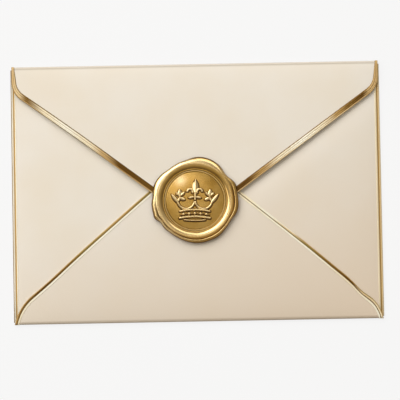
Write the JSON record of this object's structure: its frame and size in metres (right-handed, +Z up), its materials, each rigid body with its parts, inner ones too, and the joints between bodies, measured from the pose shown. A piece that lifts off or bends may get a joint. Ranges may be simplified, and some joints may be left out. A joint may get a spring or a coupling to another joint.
{
  "type": "paper envelope",
  "caption": "Sealed paper envelope with pointed flaps, gilt edge borders and a stamped gold wax seal over the flaps' meeting point.",
  "frame": {"origin": "middle of the outer rectangle, on the surface that the address side lies on", "axes": "+X along the long side, +Y across the envelope towards the crease of the top flap, +Z up out of the flap side"},
  "size_m": [0.162, 0.114, 0.0058],
  "materials": {
    "cream_paper": "satin",
    "gilt_foil": "satin",
    "gold_wax": "gloss"
  },
  "bodies": {
    "root": {"envelope_sheet": "cream_paper", "top_flap_gilt_border": "gilt_foil", "bottom_flap_gilt_border": "gilt_foil", "left_side_gilt_border": "gilt_foil", "right_side_gilt_border": "gilt_foil", "wax_seal": "gold_wax"}
  },
  "joints": []
}
